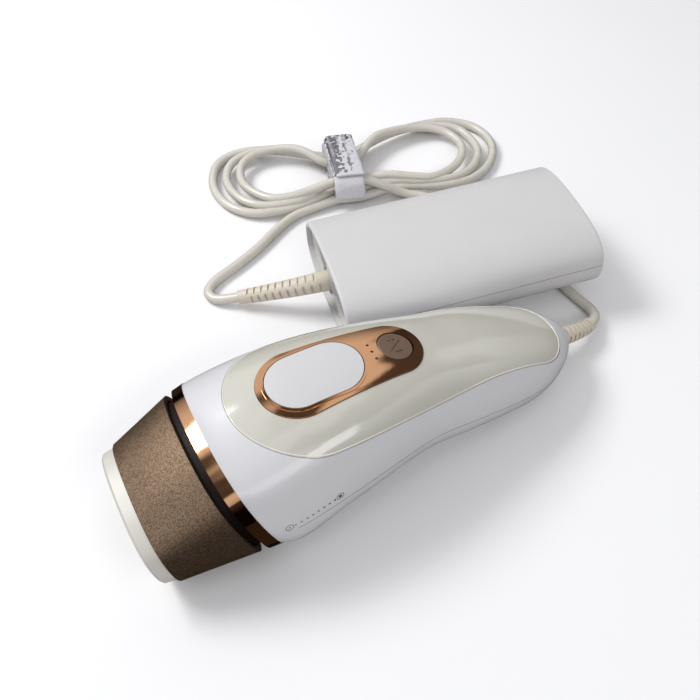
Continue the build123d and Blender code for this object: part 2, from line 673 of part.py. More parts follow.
# ---------------------------------------------------------------- cord route
ADAPTER_LEAD = [
    ADAPTER_RELIEF_TIP,
    (-49.0, 64.3, 3.9),
    (-54.0, 68.6, 2.6),
    (-54.5, 75.2, 2.6),
    (-47.5, 80.8, 2.6),
    (-34.0, 85.6, 2.6),
    (-17.0, 93.4, 2.6),
    (-2.0, 103.0, 2.6),
    (12.0, 109.5, 2.6),
]
HANDSET_LEAD = [
    (76.0, 97.0, 2.6),
    (88.0, 87.0, 2.6),
    (99.0, 75.0, 2.6),
    (108.0, 61.0, 2.6),
    (113.5, 45.0, 2.6),
    (114.5, 28.0, 2.6),
    (112.0, 11.0, 2.6),
    (109.8, -5.0, 2.6),
    (111.0, -18.0, 2.6),
    (112.0, -27.0, 3.0),
    (108.5, -34.0, 5.1),
    HANDSET_RELIEF_TIP,
]


def heading(start, end):
    """Unit direction from one point to another."""
    return (Vector(*end) - Vector(*start)).normalized()


# ---------------------------------------------------------------- strain reliefs
def strain_relief(route, base_radius, slots):
    """Tapered rubber sleeve along a curved route, with rows of flex slots on its four sides."""
    with BuildPart() as sleeve:
        for share in (0, 0.33, 0.67, 1):
            with BuildSketch(route ^ share):
                Circle(base_radius + (RELIEF_TIP_RADIUS - base_radius) * share)
        loft()
        for i in range(slots):
            for offset_share, turn in ((0.0, 0), (0.5, 90)):
                share = 0.12 + 0.8 * (i + offset_share) / slots
                radius = base_radius + (RELIEF_TIP_RADIUS - base_radius) * share
                here = Plane(route ^ share)
                level = Plane(origin=here.origin, x_dir=here.z_dir.cross(Vector(0, 0, 1)), z_dir=here.z_dir)
                with BuildSketch(level):
                    with Locations(Location((0, 0, 0), (0, 0, turn))):
                        with GridLocations(2 * radius, 1, 2, 1):
                            Rectangle(2.2, 1.2 * radius)
                extrude(amount=0.55, both=True, mode=Mode.SUBTRACT)
    return sleeve


ADAPTER = Plane(
    origin=ADAPTER_CORNER,
    x_dir=(math.cos(math.radians(ADAPTER_TURN)) * math.cos(math.radians(ADAPTER_TILT)),
           math.sin(math.radians(ADAPTER_TURN)) * math.cos(math.radians(ADAPTER_TILT)),
           math.sin(math.radians(ADAPTER_TILT))),
    z_dir=(-math.cos(math.radians(ADAPTER_TURN)) * math.sin(math.radians(ADAPTER_TILT)),
           -math.sin(math.radians(ADAPTER_TURN)) * math.sin(math.radians(ADAPTER_TILT)),
           math.cos(math.radians(ADAPTER_TILT))),
)

adapter_exit = ADAPTER.from_local_coords(Vector(ADAPTER_RECESS, 0, ADAPTER_HEIGHT / 2))
adapter_tip = Vector(*ADAPTER_RELIEF_TIP)
adapter_tip_direction = heading(ADAPTER_LEAD[0], ADAPTER_LEAD[1])
with BuildLine() as adapter_relief_route:
    Bezier(adapter_exit, adapter_exit - ADAPTER.x_dir * 16, adapter_tip - adapter_tip_direction * 16,
           adapter_tip)
adapter_strain_relief = strain_relief(adapter_relief_route.line, ADAPTER_RELIEF_RADIUS, 10)
keep(adapter_strain_relief, "adapter_strain_relief")

handset_exit = Vector(TAIL.x - 9, HANDSET_Y, (TAIL.crown + TAIL.belly) / 2)
handset_tip = Vector(*HANDSET_RELIEF_TIP)
handset_tip_direction = heading(HANDSET_LEAD[-1], HANDSET_LEAD[-2])
with BuildLine() as handset_relief_route:
    Bezier(handset_exit, handset_exit + Vector(17, 0, 0),
           handset_tip - handset_tip_direction * 9, handset_tip)
handset_strain_relief = strain_relief(handset_relief_route.line, HANDSET_RELIEF_RADIUS, 9)
keep(handset_strain_relief, "handset_strain_relief")


# ---------------------------------------------------------------- power adapter
def adapter_across(distance):
    """Plane across the adapter, a distance from its cord end."""
    return Plane(origin=ADAPTER.from_local_coords(Vector(distance, 0, 0)), x_dir=ADAPTER.y_dir,
                 z_dir=ADAPTER.x_dir)


def adapter_form(start, length, inset):
    """Stretch of the adapter's section, drawn in by inset."""
    half = ADAPTER_WIDTH / 2 - inset
    middle = ADAPTER_HEIGHT / 2
    rise = middle - inset
    with BuildPart() as solid:
        with BuildSketch(adapter_across(start)):
            with BuildLine():
                Bezier((0, middle + rise), (ADAPTER_FULLNESS * half, middle + rise),
                       (half, middle + ADAPTER_FULLNESS * rise), (half, middle))
                Bezier((half, middle), (half, middle - ADAPTER_FULLNESS * rise),
                       (ADAPTER_FULLNESS * half, middle - rise), (0, middle - rise))
                mirror(about=Plane.YZ)
            make_face()
        extrude(amount=length)
    return solid.part


def adapter_block(x, y, low, length, width, height):
    """Block on the adapter's own axes."""
    with BuildPart() as solid:
        with BuildSketch(ADAPTER.offset(low)):
            with Locations((x, y)):
                Rectangle(length, width)
        extrude(amount=height)
    return solid.part


def adapter_can(x, y, low, radius, height):
    """Upright cylinder on the adapter's own axes."""
    with BuildPart() as solid:
        with BuildSketch(ADAPTER.offset(low)):
            with Locations((x, y)):
                Circle(radius)
        extrude(amount=height)
    return solid.part


with BuildPart() as adapter_tube:
    add(adapter_form(0, ADAPTER_LENGTH, 0))
    fillet(adapter_tube.faces().filter_by(GeomType.PLANE).edges(), radius=ADAPTER_EDGE)
    add(adapter_form(-1, ADAPTER_LENGTH + 2, ADAPTER_WALL), mode=Mode.SUBTRACT)
adapter_split = ADAPTER.offset(ADAPTER_PARTING * ADAPTER_HEIGHT)

with BuildPart() as adapter_top_cover:
    add(adapter_tube.part)
    split(bisect_by=adapter_split, keep=Keep.TOP)
keep(adapter_top_cover, "adapter_top_cover")

with BuildPart() as adapter_bottom_cover:
    add(adapter_tube.part)
    split(bisect_by=adapter_split, keep=Keep.BOTTOM)
keep(adapter_bottom_cover, "adapter_bottom_cover")

END_CAP = 2.0
with BuildPart() as adapter_cord_end:
    add(adapter_form(ADAPTER_RECESS, END_CAP, ADAPTER_WALL + 0.1))
    with BuildSketch(adapter_across(ADAPTER_RECESS)):
        with Locations((0, ADAPTER_HEIGHT / 2)):
            Circle(ADAPTER_RELIEF_RADIUS + 2.0)
    extrude(amount=-1.2)
    with BuildSketch(adapter_across(0)):
        with Locations((0, ADAPTER_HEIGHT / 2)):
            Circle(ADAPTER_RELIEF_RADIUS + 0.4)
    extrude(amount=ADAPTER_RECESS, mode=Mode.SUBTRACT)
keep(adapter_cord_end, "adapter_cord_end")

inlet_end = ADAPTER_LENGTH - ADAPTER_RECESS
with BuildPart() as adapter_inlet_end:
    add(adapter_form(inlet_end - END_CAP, END_CAP, ADAPTER_WALL + 0.1))
    with BuildSketch(adapter_across(inlet_end - END_CAP)):
        with Locations((0, ADAPTER_HEIGHT / 2)):
            SlotOverall(INLET_WIDTH + 4.2, INLET_OPENING + 4.2)
    extrude(amount=END_CAP, mode=Mode.SUBTRACT)
keep(adapter_inlet_end, "adapter_inlet_end")

with BuildPart() as mains_inlet:
    with BuildSketch(adapter_across(inlet_end - INLET_DEPTH - 2)):
        with Locations((0, ADAPTER_HEIGHT / 2)):
            SlotOverall(INLET_WIDTH + 4, INLET_OPENING + 4)
    extrude(amount=INLET_DEPTH + 2)
    with BuildSketch(adapter_across(inlet_end - INLET_DEPTH)):
        with Locations((0, ADAPTER_HEIGHT / 2)):
            SlotOverall(INLET_WIDTH, INLET_OPENING)
    extrude(amount=INLET_DEPTH, mode=Mode.SUBTRACT)
keep(mains_inlet, "mains_inlet")

with BuildPart() as inlet_pins:
    with BuildSketch(adapter_across(inlet_end - INLET_DEPTH)):
        with Locations((0, ADAPTER_HEIGHT / 2)):
            with GridLocations(INLET_PIN_PITCH, 1, 2, 1):
                Circle(INLET_PIN_RADIUS)
    extrude(amount=INLET_DEPTH - 2)
keep(inlet_pins, "inlet_pins")

BOARD_LOW = ADAPTER_WALL + 3.0
BOARD_HIGH = BOARD_LOW + BOARD
with BuildPart() as adapter_board:
    add(adapter_block(ADAPTER_LENGTH / 2 - 4, 0, BOARD_LOW, ADAPTER_LENGTH - 30, ADAPTER_WIDTH - 24, BOARD))
keep(adapter_board, "adapter_board")

CORE_X = 52.0
with BuildPart() as transformer_core:
    add(adapter_block(CORE_X, 0, BOARD_HIGH + 1, 28, 30, 19))
    add(adapter_block(CORE_X, 0, BOARD_HIGH + 5, 18, 40, 11), mode=Mode.SUBTRACT)
    add(adapter_can(CORE_X, 0, BOARD_HIGH + 1, 4.5, 19))
keep(transformer_core, "transformer_core")

with BuildPart() as transformer_winding:
    add(adapter_can(CORE_X, 0, BOARD_HIGH + 5.2, 8.6, 10.6))
    add(adapter_can(CORE_X, 0, BOARD_HIGH + 5, 4.6, 12), mode=Mode.SUBTRACT)
keep(transformer_winding, "transformer_winding")

with BuildPart() as bulk_capacitor:
    add(adapter_can(84, 8, BOARD_HIGH, 9, 20))
keep(bulk_capacitor, "bulk_capacitor")

with BuildPart() as output_capacitors:
    for y in (-16, -4, 8):
        add(adapter_can(22, y, BOARD_HIGH, 4.5, 18))
keep(output_capacitors, "output_capacitors")

with BuildPart() as heat_sinks:
    add(adapter_block(54, 21, BOARD_HIGH, 60, 1.6, 18))
    add(adapter_block(54, -21, BOARD_HIGH, 60, 1.6, 18))
keep(heat_sinks, "heat_sinks")

with BuildPart() as mains_choke:
    add(adapter_can(86, -11, BOARD_HIGH, 8.5, 12))
    add(adapter_can(86, -11, BOARD_HIGH, 3.5, 12), mode=Mode.SUBTRACT)
keep(mains_choke, "mains_choke")


# ---------------------------------------------------------------- cord
def cord_tube(points, name):
    """Tube of the cord's diameter: straight runs joined by arcs as large as the runs allow."""
    corners = [Vector(*point) for point in points]
    radii = []
    for before, here, after in zip(corners, corners[1:], corners[2:]):
        turn = (here - before).get_angle(after - here)
        shorter = min((here - before).length, (after - here).length)
        radii.append(0.45 * shorter / math.tan(math.radians(turn / 2)))
    print(name, "arc radii", [round(radius, 1) for radius in radii])
    with BuildPart() as tube:
        with BuildLine() as route:
            FilletPolyline(*corners, radius=radii)
        with BuildSketch(Plane(origin=route.line @ 0, z_dir=route.line % 0)):
            Circle(CORD_DIAMETER / 2)
        sweep(path=route.line)
        length = route.wires()[0].length
    section = math.pi * CORD_DIAMETER ** 2 / 4
    print(name, "length", round(length, 1), "volume ratio", round(tube.part.volume / (section * length), 4))
    return tube


keep(cord_tube(ADAPTER_LEAD, "adapter_lead"), "adapter_lead")

keep(cord_tube(HANDSET_LEAD, "handset_lead"), "handset_lead")

WAIST = Plane(origin=(TIE_CENTRE[0], TIE_CENTRE[1], 0),
              x_dir=(math.cos(math.radians(TIE_TURN)), math.sin(math.radians(TIE_TURN)), 0), z_dir=(0, 0, 1))
WAIST_CORNER = 7.0
TIE_FLOOR = 0.1


def waist_form(length, grow):
    """Rounded bar through the tie, grown all round."""
    across_tie = Plane(origin=WAIST.origin - WAIST.x_dir * (length / 2), x_dir=WAIST.y_dir, z_dir=WAIST.x_dir)
    with BuildPart() as solid:
        with BuildSketch(across_tie):
            with Locations((0, TIE_FLOOR + TIE_THICKNESS + WAIST_HEIGHT / 2)):
                RectangleRounded(WAIST_WIDTH + 2 * grow, WAIST_HEIGHT + 2 * grow, WAIST_CORNER + grow)
        extrude(amount=length)
    return solid.part


with BuildPart() as cord_hank:
    with BuildSketch(Plane.XY):
        with Locations(Location((18, 142), -20)):
            Ellipse(45, 40)
        with Locations((110, 119)):
            Ellipse(46, 36)
    extrude(amount=HANK_HEIGHT)
    with BuildSketch(WAIST):
        Rectangle(TIE_LENGTH + 2, 140)
    extrude(amount=HANK_HEIGHT + 5, mode=Mode.SUBTRACT)
    add(waist_form(TIE_LENGTH + 24, 0))
keep(cord_hank, "cord_hank")

with BuildPart() as cord_tie:
    add(waist_form(TIE_LENGTH, TIE_THICKNESS))
    add(waist_form(TIE_LENGTH + 2, 0), mode=Mode.SUBTRACT)
keep(cord_tie, "cord_tie")
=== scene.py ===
"""Looks of the hand-held light hair remover, its power adapter and the tied cord between them."""
import json
import math

import bmesh
import bpy
from mathutils import Matrix, Vector
from mathutils.bvhtree import BVHTree
from mathutils.noise import noise as noise_at


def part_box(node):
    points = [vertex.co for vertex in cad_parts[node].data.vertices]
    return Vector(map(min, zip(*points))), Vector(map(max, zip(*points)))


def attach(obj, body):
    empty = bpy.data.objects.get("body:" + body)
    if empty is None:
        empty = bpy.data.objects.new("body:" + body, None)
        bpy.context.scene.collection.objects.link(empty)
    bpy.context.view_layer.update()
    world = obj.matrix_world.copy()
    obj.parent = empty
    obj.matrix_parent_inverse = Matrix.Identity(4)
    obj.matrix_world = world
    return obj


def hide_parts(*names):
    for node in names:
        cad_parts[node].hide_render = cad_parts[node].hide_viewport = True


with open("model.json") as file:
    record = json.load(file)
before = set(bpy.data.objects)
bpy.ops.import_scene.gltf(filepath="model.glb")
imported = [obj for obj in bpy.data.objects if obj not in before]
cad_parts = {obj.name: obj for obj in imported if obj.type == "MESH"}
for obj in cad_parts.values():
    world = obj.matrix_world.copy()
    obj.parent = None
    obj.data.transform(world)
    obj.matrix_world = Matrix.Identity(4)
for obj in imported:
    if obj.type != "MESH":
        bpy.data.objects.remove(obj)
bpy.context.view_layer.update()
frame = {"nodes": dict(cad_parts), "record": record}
nodes = frame["nodes"]
MM = 0.001

# ---------------------------------------------------------------- camera
CAMERA_AZIMUTH = -28.8       # degrees
CAMERA_ELEVATION = 49.17
CAMERA_ROLL = 0.845
CAMERA_DISTANCE = 387.8 * MM
CAMERA_TARGET = Vector((-7.2, 8.25, 0)) * MM
FOCAL_LENGTH = 41.14
SENSOR_WIDTH = 36
CLIP_START = 0.01


def add_camera():
    turn = math.radians(CAMERA_AZIMUTH)
    rise = math.radians(CAMERA_ELEVATION)
    back = Vector((math.sin(turn) * math.cos(rise), -math.cos(turn) * math.cos(rise), math.sin(rise)))
    right = Vector((0, 0, 1)).cross(back).normalized()
    up = back.cross(right)
    roll = math.radians(CAMERA_ROLL)
    across = right * math.cos(roll) + up * math.sin(roll)
    above = up * math.cos(roll) - right * math.sin(roll)
    data = bpy.data.cameras.new("camera")
    data.lens = FOCAL_LENGTH
    data.sensor_width = SENSOR_WIDTH
    data.clip_start = CLIP_START
    camera = bpy.data.objects.new("camera", data)
    bpy.context.scene.collection.objects.link(camera)
    rotation = Matrix((across, above, back)).transposed().to_4x4()
    camera.matrix_world = Matrix.Translation(CAMERA_TARGET + back * CAMERA_DISTANCE) @ rotation
    bpy.context.scene.camera = camera


add_camera()


# ---------------------------------------------------------------- materials
NOISE_LOW = 0.3              # nearly all of a noise texture's values lie between these
NOISE_HIGH = 0.7
SLOW_DRIFT = 60.0            # noise scales, per metre
COAT_ROUGHNESS = 0.08
FLAKE_SCALE = 2600.0
FLAKE_METAL = 0.90
CLEAR_TRANSMISSION = 0.8
CLEAR_IOR = 1.48
finishes = {}                # by name, most of them the record's material slots


def new_material(name):
    material = bpy.data.materials.new(name)
    material.use_nodes = True
    finishes[name] = material
    return material, material.node_tree, material.node_tree.nodes["Principled BSDF"]


def noise(tree, scale, detail=3.0, roughness=0.5):
    """Noise in the object's own space, so that it is the same size everywhere."""
    place = tree.nodes.new("ShaderNodeTexCoord")
    node = tree.nodes.new("ShaderNodeTexNoise")
    node.inputs["Scale"].default_value = scale
    node.inputs["Detail"].default_value = detail
    node.inputs["Roughness"].default_value = roughness
    tree.links.new(place.outputs["Object"], node.inputs["Vector"])
    return node


def spread(tree, source, low, high):
    """The noise's usual range as a value from low to high."""
    node = tree.nodes.new("ShaderNodeMapRange")
    node.inputs["From Min"].default_value = NOISE_LOW
    node.inputs["From Max"].default_value = NOISE_HIGH
    node.inputs["To Min"].default_value = low
    node.inputs["To Max"].default_value = high
    tree.links.new(source, node.inputs["Value"])
    return node.outputs["Result"]


def tint(tree, source, colour, change):
    """Colour that wanders by a share either side."""
    node = tree.nodes.new("ShaderNodeValToRGB")
    low, high = node.color_ramp.elements
    low.position, high.position = NOISE_LOW, NOISE_HIGH
    low.color = (*[c * (1 - change) for c in colour], 1)
    high.color = (*[min(1, c * (1 + change)) for c in colour], 1)
    tree.links.new(source, node.inputs["Fac"])
    return node.outputs["Color"]


def bump(tree, shader, source, height, strength=1.0):
    node = tree.nodes.new("ShaderNodeBump")
    node.inputs["Distance"].default_value = height
    node.inputs["Strength"].default_value = strength
    tree.links.new(source, node.inputs["Height"])
    tree.links.new(node.outputs["Normal"], shader.inputs["Normal"])


def plastic(name, colour, rough, grain=1500.0, relief=0.00001, change=0.02, coat=0.0, metal=0.0,
            wander=0.06, shine=0.5):
    """Moulded plastic or metal: fine grain in the surface, slow drift in colour and gloss."""
    material, tree, shader = new_material(name)
    slow = noise(tree, SLOW_DRIFT)
    fine = noise(tree, grain, 2.0)
    tree.links.new(tint(tree, slow.outputs["Fac"], colour, change), shader.inputs["Base Color"])
    low = max(0.02, rough - wander)
    tree.links.new(spread(tree, slow.outputs["Fac"], low, rough + wander), shader.inputs["Roughness"])
    shader.inputs["Metallic"].default_value = metal
    shader.inputs["Coat Weight"].default_value = coat
    shader.inputs["Coat Roughness"].default_value = COAT_ROUGHNESS
    shader.inputs["Specular IOR Level"].default_value = shine
    bump(tree, shader, fine.outputs["Fac"], relief)
    return material


def flaked(name, dark, light, rough):
    """Matt paint with fine metal flakes."""
    material, tree, shader = new_material(name)
    slow = noise(tree, 40.0)
    place = tree.nodes.new("ShaderNodeTexCoord")
    flake = tree.nodes.new("ShaderNodeTexVoronoi")
    flake.inputs["Scale"].default_value = FLAKE_SCALE
    tree.links.new(place.outputs["Object"], flake.inputs["Vector"])
    tone = tree.nodes.new("ShaderNodeSeparateColor")
    tree.links.new(flake.outputs["Color"], tone.inputs["Color"])
    ramp = tree.nodes.new("ShaderNodeValToRGB")
    low, high = ramp.color_ramp.elements
    low.position, low.color = 0.1, (*dark, 1)
    high.position, high.color = 0.9, (*light, 1)
    tree.links.new(tone.outputs["Red"], ramp.inputs["Fac"])
    tree.links.new(ramp.outputs["Color"], shader.inputs["Base Color"])
    gloss = spread(tree, slow.outputs["Fac"], rough - 0.04, rough + 0.04)
    tree.links.new(gloss, shader.inputs["Roughness"])
    shader.inputs["Metallic"].default_value = FLAKE_METAL
    bump(tree, shader, tone.outputs["Green"], 0.00001, 0.5)
    return material


def clear(name, colour, rough):
    """Glass or clear plastic."""
    material, tree, shader = new_material(name)
    slow = noise(tree, 90.0)
    tree.links.new(tint(tree, slow.outputs["Fac"], colour, 0.03), shader.inputs["Base Color"])
    tree.links.new(spread(tree, slow.outputs["Fac"], rough, rough + 0.03), shader.inputs["Roughness"])
    shader.inputs["Transmission Weight"].default_value = CLEAR_TRANSMISSION
    shader.inputs["IOR"].default_value = CLEAR_IOR
    return material


def woven(name, colour):
    """Short brushed loops of a hook-and-loop strap."""
    material, tree, shader = new_material(name)
    fluff = noise(tree, 700.0, 2.0, 0.5)
    slow = noise(tree, 120.0)
    tree.links.new(tint(tree, fluff.outputs["Fac"], colour, 0.06), shader.inputs["Base Color"])
    tree.links.new(spread(tree, slow.outputs["Fac"], 0.85, 0.98), shader.inputs["Roughness"])
    shader.inputs["Sheen Weight"].default_value = 0.3
    shader.inputs["Sheen Roughness"].default_value = 0.5
    bump(tree, shader, fluff.outputs["Fac"], 0.00012)
    return material


PLASTICS = {
    "shell_white": dict(colour=(0.665, 0.665, 0.68), rough=0.30, change=0.006, coat=0.30,
                        wander=0.015),
    "panel_cream": dict(colour=(0.585, 0.57, 0.50), rough=0.13, change=0.008, wander=0.015,
                        relief=0.000003, coat=0.8),
    "rose_chrome": dict(colour=(0.66, 0.36, 0.19), rough=0.08, relief=0.000003, metal=1.0,
                        wander=0.03),
    "button_white": dict(colour=(0.61, 0.61, 0.61), rough=0.36, change=0.008),
    "mode_bronze": dict(colour=(0.19, 0.125, 0.09), rough=0.42, metal=0.3),
    "collar_dark": dict(colour=(0.010, 0.005, 0.004), rough=0.50, shine=0.15),
    "rim_cream": dict(colour=(0.62, 0.60, 0.54), rough=0.35, change=0.008),
    "tunnel_silver": dict(colour=(0.75, 0.75, 0.75), rough=0.18, metal=1.0),
    "housing_black": dict(colour=(0.02, 0.02, 0.022), rough=0.45),
    "reflector_silver": dict(colour=(0.85, 0.85, 0.85), rough=0.10, metal=1.0, wander=0.02),
    "lamp_metal": dict(colour=(0.60, 0.59, 0.57), rough=0.35, metal=1.0),
    "sensor_black": dict(colour=(0.015, 0.015, 0.02), rough=0.15),
    "fan_black": dict(colour=(0.02, 0.02, 0.022), rough=0.40),
    "chassis_grey": dict(colour=(0.28, 0.29, 0.31), rough=0.50),
    "circuit_green": dict(colour=(0.015, 0.11, 0.05), rough=0.25, grain=700.0, change=0.15),
    "copper": dict(colour=(0.62, 0.28, 0.12), rough=0.35, grain=2500.0, metal=0.8),
    "ferrite": dict(colour=(0.05, 0.05, 0.052), rough=0.60, grain=900.0),
    "capacitor_sleeve": dict(colour=(0.02, 0.03, 0.09), rough=0.30),
    "steel": dict(colour=(0.55, 0.55, 0.55), rough=0.30, metal=1.0),
    "adapter_white": dict(colour=(0.62, 0.61, 0.605), rough=0.50, grain=2600.0, relief=0.00006,
                          change=0.01),
    "adapter_end": dict(colour=(0.58, 0.57, 0.54), rough=0.14, coat=0.6),
    "heat_sink": dict(colour=(0.62, 0.63, 0.65), rough=0.38, metal=1.0),
    "inlet_black": dict(colour=(0.02, 0.02, 0.02), rough=0.40),
    "pin_brass": dict(colour=(0.70, 0.52, 0.20), rough=0.25, metal=1.0),
    "relief_beige": dict(colour=(0.62, 0.56, 0.46), rough=0.48, grain=2000.0, relief=0.00002),
    "cord_ivory": dict(colour=(0.63, 0.60, 0.53), rough=0.30, grain=1800.0, coat=0.2),
    "print_grey": dict(colour=(0.07, 0.06, 0.06), rough=0.5),
    "seam_grey": dict(colour=(0.20, 0.20, 0.21), rough=0.6),
    # painted highlight: a lighter copy of the panel's cream, drawn as a fine glossy bead round the top
    # panel's edge
    "edge_clear": dict(colour=(0.86, 0.85, 0.76), rough=0.05, relief=0.000002, coat=1.0),
}

for name, look in PLASTICS.items():
    plastic(name, **look)
clear("lens_dark", (0.10, 0.09, 0.09), 0.08)
flaked("cap_bronze", (0.20, 0.135, 0.088), (0.42, 0.295, 0.195), 0.40)
clear("filter_amber", (0.85, 0.50, 0.22), 0.04)
clear("lamp_glass", (0.92, 0.95, 0.98), 0.02)
woven("tie_grey", (0.60, 0.59, 0.62))

node_slots = {s["node"]: s["material_slot"] for s in frame["record"]["subparts"]}
for name, node in nodes.items():
    node.data.materials.clear()
    node.data.materials.append(finishes[node_slots[name]])

# ---------------------------------------------------------------- cord
CORD_DIAMETER = 5.0
ADAPTER_LEAD = [
    (-42.5, 60.8, 5.6),
    (-49.0, 64.3, 3.9),
    (-54.0, 68.6, 2.6),
    (-54.5, 75.2, 2.6),
    (-47.5, 80.8, 2.6),
    (-34.0, 85.6, 2.6),
    (-17.0, 93.4, 2.6),
    (-2.0, 103.0, 2.6),
    (12.0, 109.5, 2.6),
]
HANDSET_LEAD = [
    (76.0, 97.0, 2.6),
    (88.0, 87.0, 2.6),
    (99.0, 75.0, 2.6),
    (108.0, 61.0, 2.6),
    (113.5, 45.0, 2.6),
    (114.5, 28.0, 2.6),
    (112.0, 11.0, 2.6),
    (109.8, -5.0, 2.6),
    (111.0, -18.0, 2.6),
    (112.0, -27.0, 3.0),
    (108.5, -34.0, 5.1),
    (101.5, -36.6, 6.6),
]
TIE_CENTRE = Vector((51.0, 126.0, 0))
TIE_TURN = math.radians(-18.0)
TIE_ACROSS = Vector((math.cos(TIE_TURN), math.sin(TIE_TURN), 0))
TIE_ALONG = Vector((-math.sin(TIE_TURN), math.cos(TIE_TURN), 0))
TIE_REACH = 9.0              # the strands run straight this far either side of the tie's middle
# The outermost turn on each side of the tie, from the strand that leaves to the one that returns.
RIGHT_TURN = [(76, 103), (92, 94), (106, 89), (121, 90), (136, 97), (147, 109), (151, 123),
              (148, 137), (137, 147), (122, 151), (106, 151), (89, 149)]
LEFT_TURN = [(33, 161), (20, 172), (5, 177), (-9, 173), (-18, 161), (-21, 146), (-17, 131),
             (-9, 119), (5, 114), (19, 112)]
TURN_STEP = 0.11             # how much smaller each inner turn is
LOOSENESS = 2.5              # how far a turn strays from its outline
LOOP_HEIGHT = 2.9            # of the outermost turn's middle
LEVEL_RISE = 3.0             # each inner turn lies this much higher at the tie
MIDDLE_SINK = 0.45           # and sinks by this share of it in its middle
TIE_RISE = 2.2
NEAR_SLOTS = [(-20.5, 4.2), (-14.5, 5.6), (-8.5, 7.4), (-17.5, 14.6)]     # along the tie, height
FAR_SLOTS = [(20.5, 4.4), (14.5, 6.4), (8.0, 8.2)]
HANK_START = (27.0, 109.0, 3.2)
HANK_END = (66.0, 101.0, 9.0)


def tie_pass(slot, way):
    """Points through the tie: way is 1 towards the right, -1 towards the left."""
    along, height = slot
    middle = TIE_CENTRE + TIE_ALONG * along + Vector((0, 0, height))
    return [middle + TIE_ACROSS * (way * step) for step in (-TIE_REACH, 0, TIE_REACH)]


def turn(outline, level):
    """One side of a turn of the hank: the outline drawn in by its level, raised and strayed a little."""
    points = []
    count = len(outline) - 1
    for i, (x, y) in enumerate(outline):
        share = 1 - TURN_STEP * level
        place = TIE_CENTRE + (Vector((x, y, 0)) - TIE_CENTRE) * share
        swell = math.sin(math.pi * i / count)
        height = LOOP_HEIGHT + LEVEL_RISE * level * (1 - MIDDLE_SINK * swell) + TIE_RISE * (1 - swell)
        drift = Vector((noise_at(Vector((i * 0.4, level * 5.1, x))),
                        noise_at(Vector((i * 0.4, level * 3.7, y))), 0))
        place += drift * LOOSENESS * min(1, swell * 1.6)
        points.append(Vector((place.x, place.y, height)))
    return points


def cord_points():
    """The whole route: the adapter's lead, the turns of the hank, and the handset's lead."""
    points = [Vector(p) for p in ADAPTER_LEAD + [HANK_START]]
    for level in range(len(FAR_SLOTS)):
        points += tie_pass(NEAR_SLOTS[level], 1)
        points += turn(RIGHT_TURN, level)
        points += tie_pass(FAR_SLOTS[level], -1)
        points += turn(LEFT_TURN, level)
    points += tie_pass(NEAR_SLOTS[-1], 1)
    return points + [Vector(p) for p in [HANK_END] + HANDSET_LEAD]


def add_cord():
    data = bpy.data.curves.new("cord", "CURVE")
    data.dimensions = "3D"
    spline = data.splines.new("NURBS")
    points = cord_points()
    spline.points.add(len(points) - 1)
    for place, point in zip(spline.points, points):
        place.co = (*(point * MM), 1)
    spline.order_u = 3
    spline.use_endpoint_u = True
    spline.resolution_u = 10
    data.bevel_depth = CORD_DIAMETER / 2 * MM
    data.bevel_resolution = 6
    data.materials.append(finishes["cord_ivory"])
    cord = bpy.data.objects.new("cord", data)
    bpy.context.scene.collection.objects.link(cord)
    return cord


cord = add_cord()
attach(cord, "base")
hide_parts("adapter_lead", "cord_hank", "handset_lead")


# ---------------------------------------------------------------- small pieces of mesh
def add_mesh(name, form, material, body, wound=False):
    """Object from a bmesh, in the row frame, riding on a body. A wound form keeps its winding."""
    mesh = bpy.data.meshes.new(name)
    if not wound:
        bmesh.ops.recalc_face_normals(form, faces=form.faces)
    form.to_mesh(mesh)
    form.free()
    for face in mesh.polygons:
        face.use_smooth = True
    mesh.materials.append(material)
    piece = bpy.data.objects.new(name, mesh)
    bpy.context.scene.collection.objects.link(piece)
    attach(piece, body)
    return piece


def surface_of(node):
    """Rays onto a CAD node: place, direction -> hit place and outward normal, in metres."""
    tree = BVHTree.FromObject(nodes[node], bpy.context.evaluated_depsgraph_get())

    def hit(place, direction):
        found, normal, _, _ = tree.ray_cast(Vector(place), Vector(direction))
        if found is None:
            return None
        return found, normal if normal.dot(Vector(direction)) < 0 else -normal

    return hit


def lay_disc(form, hit, radius, hole, height, sides=20):
    """Thin raised disc or ring lying on a surface point."""
    place, normal = hit
    across = normal.cross(Vector((0, 0, 1)).cross(normal)).normalized()
    side = normal.cross(across)
    rings = [(hole, 0), (hole, height), (radius, height), (radius, 0)] if hole else [
        (0.02 * radius, height), (radius, height), (radius, 0)]
    loops = []
    angles = [2 * math.pi * i / sides for i in range(sides)]
    spokes = [across * math.cos(a) + side * math.sin(a) for a in angles]
    for reach, lift in rings:
        loops.append([form.verts.new(place + spoke * reach + normal * lift) for spoke in spokes])
    for inner, outer_loop in zip(loops, loops[1:]):
        for i in range(sides):
            j = (i + 1) % sides
            form.faces.new((inner[i], inner[j], outer_loop[j], outer_loop[i]))
    if not hole:
        form.faces.new(loops[0])


# ---------------------------------------------------------------- printed row on the near side
MARK_FIRST_X = -79.0         # plain dots between two small rings
MARK_LAST_X = -57.0
MARK_COUNT = 8
MARK_Z = 27.0
MARK_RISE = 0.12             # the row climbs this much per mm towards the tail
MARK_HEIGHT = 0.03
MARK_RING = 1.7              # the end rings' outer and inner radius
MARK_RING_HOLE = 1.45
MARK_DOT = 0.34
MARK_DOT_GROWTH = 0.02       # from one dot to the next
MARK_CENTRE_DOT = 0.35
MARK_CENTRE_GROWTH = 0.05
BESIDE = -140                # clear of the handset on its near side


